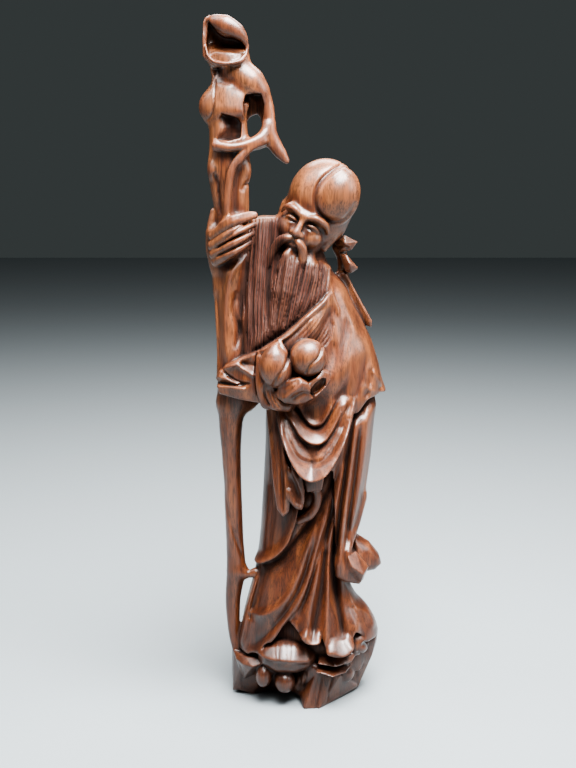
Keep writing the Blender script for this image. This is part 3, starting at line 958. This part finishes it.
places = np.empty(len(carved.vertices) * 3, np.float32)
carved.vertices.foreach_get("co", places)
places = places.reshape(-1, 3) * (1 / MM)
# How deep a place lies among the wood, within cubes of 3 and of 11 mm
for name, width in (("recess", 3.0), ("hollow", 11.0)):
    near = nearby_wood(clay.value, clay.pitch, width)
    write_marks(name, read_grid(near, clay.low, clay.pitch, places))
# Where a place lies in the hair, from 0 to 1: inside its outline, and no deeper behind its front
# edge nor further ahead of it than these, in millimetres, and fading over 2 or 3 mm
HAIR_BEHIND = 9
HAIR_AHEAD = 22
edge, front = outline(BEARD_OUTLINE, [y for _, y, _ in BEARD_EDGE], places[:, 0], places[:, 2])
hair = share(-edge / 3) * share((front + HAIR_BEHIND - places[:, 1]) / 3)
hair = hair * share((places[:, 1] - front + HAIR_AHEAD) / 2)
write_marks("hair", hair)
# Which lock passes there, counted across the beard
across = [np.interp(places[:, 2], *zip(*sorted((z, x) for x, z in lock))) for lock in BEARD_LOCKS]
across = np.array(across)
before = np.clip((across < places[:, 0]).sum(axis=0), 1, len(BEARD_LOCKS) - 1)
left, right = (np.take_along_axis(across, (before - n)[None], 0)[0] for n in (1, 0))
write_marks("strand", before - 1 + (places[:, 0] - left) / np.maximum(right - left, 0.5))


# An sRGB colour written as hex, as linear light.
def colour(text):
    parts = [int(text[n:n + 2], 16) / 255 for n in (1, 3, 5)]
    return [*(p / 12.92 if p <= 0.04045 else ((p + 0.055) / 1.055) ** 2.4 for p in parts), 1]


# Adds a node with its settings, its inputs as values or as links, and the stops of a colour ramp, as
# places with a hex colour or a grey. It gives the output that is asked for.
def add_node(tree, kind, inputs=None, out=0, stops=(), **settings):
    made = tree.nodes.new("ShaderNode" + kind)
    for name, value in settings.items():
        setattr(made, name, value)
    for name, value in (inputs or {}).items():
        if isinstance(value, bpy.types.NodeSocket):
            tree.links.new(value, made.inputs[name])
        else:
            made.inputs[name].default_value = value
    for _ in stops[2:]:
        made.color_ramp.elements.new(0.5)
    for n, (spot, shade) in enumerate(stops):
        stop = made.color_ramp.elements[n]
        stop.position = spot
        stop.color = colour(shade) if isinstance(shade, str) else (shade, shade, shade, 1)
    return made.outputs[out] if made.outputs else None


# Oiled rosewood: dense red-brown wood with dark streaks and long open pores, carved with gouges and
# waxed. Deep cuts stay dark and dull with old wax; what stands out is rubbed lighter and shines.
wood = bpy.data.materials.new("oiled_rosewood")
wood.use_nodes = True
tree = wood.node_tree
tree.nodes.clear()
place = add_node(tree, "TexCoord", out="Object")
height = add_node(tree, "SeparateXYZ", {0: place}, out="Z")
recess, hollow, hair, strand = (add_node(tree, "Attribute", out="Fac", attribute_name=name)
                                for name in ("recess", "hollow", "hair", "strand"))

# The grain runs up the block. Each pattern is given by the width and length of its marks in
# millimetres; the pores, which are 0.2 mm wide, are drawn at 0.5 mm to show.
patterns = []
for width, length, detail, roughness, distortion in (
    (6.25, 111.11, 3, 0.55, 0.6),
    (0.909, 35.71, 2, 0.5, 0),
    (0.5, 11.11, 1, 0.5, 0),
    (35.71, 35.71, 2, 0.5, 0),
    (3.846, 3.846, 1, 0.5, 0),
):
    in_a_metre = (1 / (width * MM), 1 / (width * MM), 1 / (length * MM))
    spread = add_node(tree, "Mapping", {0: place, "Scale": in_a_metre})
    patterns.append(add_node(tree, "TexNoise", {"Vector": spread, "Scale": 1, "Detail": detail,
        "Roughness": roughness, "Distortion": distortion}))
bands, streaks, pores, mottle, facets = patterns

# Fine lines down the beard, four to a lock, which wander a little with the grain
LINES_PER_LOCK = 4
lines = bands
for kind, *values in (
    ("MULTIPLY_ADD", 0.6, strand),
    ("MULTIPLY", LINES_PER_LOCK * 2 * math.pi),
    ("SINE",),
    ("MULTIPLY_ADD", 0.5, 0.5),
):
    lines = add_node(tree, "Math", dict(enumerate([lines, *values])), operation=kind)
grooves = add_node(tree, "Math", {0: 1.0, 1: lines}, operation="SUBTRACT")
grooves = add_node(tree, "Math", {0: grooves, 1: 2.5}, operation="POWER")
grooves = add_node(tree, "Math", {0: grooves, 1: hair}, operation="MULTIPLY")

# Wood above the knees is rubbed where it stands out over a wide stretch, and thin edges are worn
touched = add_node(tree, "MapRange", {0: height, 1: 0.14, 2: 0.26})
rubbed = add_node(tree, "ValToRGB", {0: hollow}, stops=((0.27, 0.03), (0.42, 0.24), (0.5, 0.0)))
rubbed = add_node(tree, "Math", {0: rubbed, 1: touched}, operation="MULTIPLY")
worn = add_node(tree, "ValToRGB", {0: recess}, stops=((0.28, 0.225), (0.47, 0.0)))
in_hair = add_node(tree, "Math", {0: hair, 1: 0.8}, operation="MULTIPLY")
in_grooves = add_node(tree, "Math", {0: grooves, 1: 0.92}, operation="MULTIPLY")
in_cuts = add_node(tree, "ValToRGB", {0: recess}, stops=((0.53, 0.0), (0.7, 0.88)))
in_hollows = add_node(tree, "ValToRGB", {0: hollow}, stops=((0.53, 0.0), (0.82, 0.85)))
streak_shade = add_node(tree, "ValToRGB", {0: streaks}, stops=((0.36, 0.3), (0.52, 1.0)))
mottle_shade = add_node(tree, "ValToRGB", {0: mottle}, stops=((0.3, 0.6), (0.7, 1.0)))
pore_shade = add_node(tree, "ValToRGB", {0: pores}, stops=((0.36, 0.25), (0.46, 1.0)))
foot_shade = add_node(tree, "ValToRGB", {0: height}, stops=((0.02, 0.62), (0.085, 1.0)))

# The colours, from the bare wood out to the wax in the deepest hollows
base = add_node(tree, "ValToRGB", {0: bands}, stops=((0.28, "#3a1d11"), (0.5, "#572d19"), (0.74, "#7a482a")))
for kind, amount, tint in (
    ("MIX", rubbed, colour("#ab744c")),
    ("MULTIPLY", 0.6, streak_shade),
    ("MULTIPLY", 0.4, mottle_shade),
    ("MULTIPLY", 0.75, pore_shade),
    ("MIX", worn, colour("#7c5240")),
    ("MULTIPLY", 1.0, foot_shade),
    ("MIX", in_hair, colour("#331308")),
    ("MIX", in_grooves, colour("#0a0402")),
    ("MIX", in_cuts, colour("#1c0c07")),
    ("MIX", in_hollows, colour("#180a06")),
):
    layer = {0: amount, 6: base, 7: tint}
    base = add_node(tree, "Mix", layer, out=2, data_type="RGBA", blend_type=kind)

# Polish: streaks are a little smoother, hollows and hair are dull, and wax lies on open wood only
hidden = add_node(tree, "MapRange", {0: hollow, 1: 0.5, 2: 0.68})
rough_at = add_node(tree, "MapRange", {0: streaks, 1: 0.35, 2: 0.65, 3: 0.44, 4: 0.36})
for dull, amount in ((hidden, 0.5), (hair, 0.35)):
    rough_at = add_node(tree, "Math", {0: dull, 1: amount, 2: rough_at}, operation="MULTIPLY_ADD")
coat = add_node(tree, "Math", {0: hair, 1: hidden}, operation="MAXIMUM")
coat = add_node(tree, "Math", {0: coat, 1: -0.6, 2: 0.6}, operation="MULTIPLY_ADD")

# Relief of the surface, each with its strength and its depth in millimetres
hair_lines = add_node(tree, "Math", {0: lines, 1: hair}, operation="MULTIPLY")
normal = {}
for pattern, strength, depth in (
    (facets, 0.08, 0.8),
    (streaks, 0.15, 0.3),
    (pores, 0.2, 0.1),
    (hair_lines, 0.3, 0.4),
):
    cut_in = {"Height": pattern, "Strength": strength, "Distance": depth * MM}
    normal["Normal"] = add_node(tree, "Bump", {**cut_in, **normal})
shader = add_node(tree, "BsdfPrincipled", {"Base Color": base, "Roughness": rough_at, "Coat Weight": coat,
    "Coat Roughness": 0.3, "IOR": 1.33, **normal})
add_node(tree, "OutputMaterial", {0: shader})
carved.materials.clear()
carved.materials.append(wood)
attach(figure, "root")
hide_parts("figure")


# The floor: a plain pale sheet of paper under the figure, wide enough to fill every view.
reach = 3.0
sheet = bpy.data.meshes.new("floor")
sheet.from_pydata([(-reach, -reach, 0), (reach, -reach, 0), (reach, reach, 0), (-reach, reach, 0)], [],
                  [(0, 1, 2, 3)])
floor = bpy.data.objects.new("floor", sheet)
bpy.context.scene.collection.objects.link(floor)
paper = bpy.data.materials.new("pale_paper")
paper.use_nodes = True
finish = paper.node_tree.nodes["Principled BSDF"].inputs
finish["Base Color"].default_value = colour("#80878a")
finish["Roughness"].default_value = 0.9
sheet.materials.append(paper)


# Light: soft boxes above, behind and to both sides, by place, size in metres and power in watts,
# and a pale room.
def soft_box(name, place, size, power, aim=(0, 0, 0.2)):
    light = bpy.data.lights.new(name, "AREA")
    light.shape = "RECTANGLE"
    light.size, light.size_y = size
    light.energy = power
    box = bpy.data.objects.new(name, light)
    bpy.context.scene.collection.objects.link(box)
    box.location = place
    way = Vector(aim) - Vector(place)
    box.rotation_euler = way.to_track_quat("-Z", "Y").to_euler()


soft_box("above", (0.12, -0.24, 0.85), (0.5, 0.4), 44)
soft_box("above_front", (0.05, -0.6, 0.95), (0.5, 0.3), 9)
soft_box("front_right", (0.8, -0.3, 0.6), (0.4, 0.5), 5)
soft_box("above_left", (-0.4, -0.1, 0.85), (0.3, 0.4), 4)
soft_box("above_behind", (0.1, 0.5, 0.9), (0.8, 0.3), 10)
soft_box("left", (-0.9, -0.2, 0.6), (0.3, 0.8), 0.8)
soft_box("right", (1.0, 0.1, 0.6), (0.3, 0.8), 2)
world = bpy.data.worlds.new("room")
bpy.context.scene.world = world
world.use_nodes = True
world.node_tree.nodes["Background"].inputs[0].default_value = colour("#b9c6c6")
world.node_tree.nodes["Background"].inputs[1].default_value = 0.1
bpy.context.scene.view_settings.look = "AgX - Medium High Contrast"

# The camera stands in front, a little above the middle, and looks slightly down.
LOOKS_DOWN = 10.88
eye = bpy.data.cameras.new("camera")
eye.lens = 58.17
eye.sensor_width = 36
camera = bpy.data.objects.new("camera", eye)
bpy.context.scene.collection.objects.link(camera)
camera.location = (-0.0066, -0.720, 0.330)
camera.rotation_euler = (math.radians(90 - LOOKS_DOWN), 0, 0)
bpy.context.scene.camera = camera
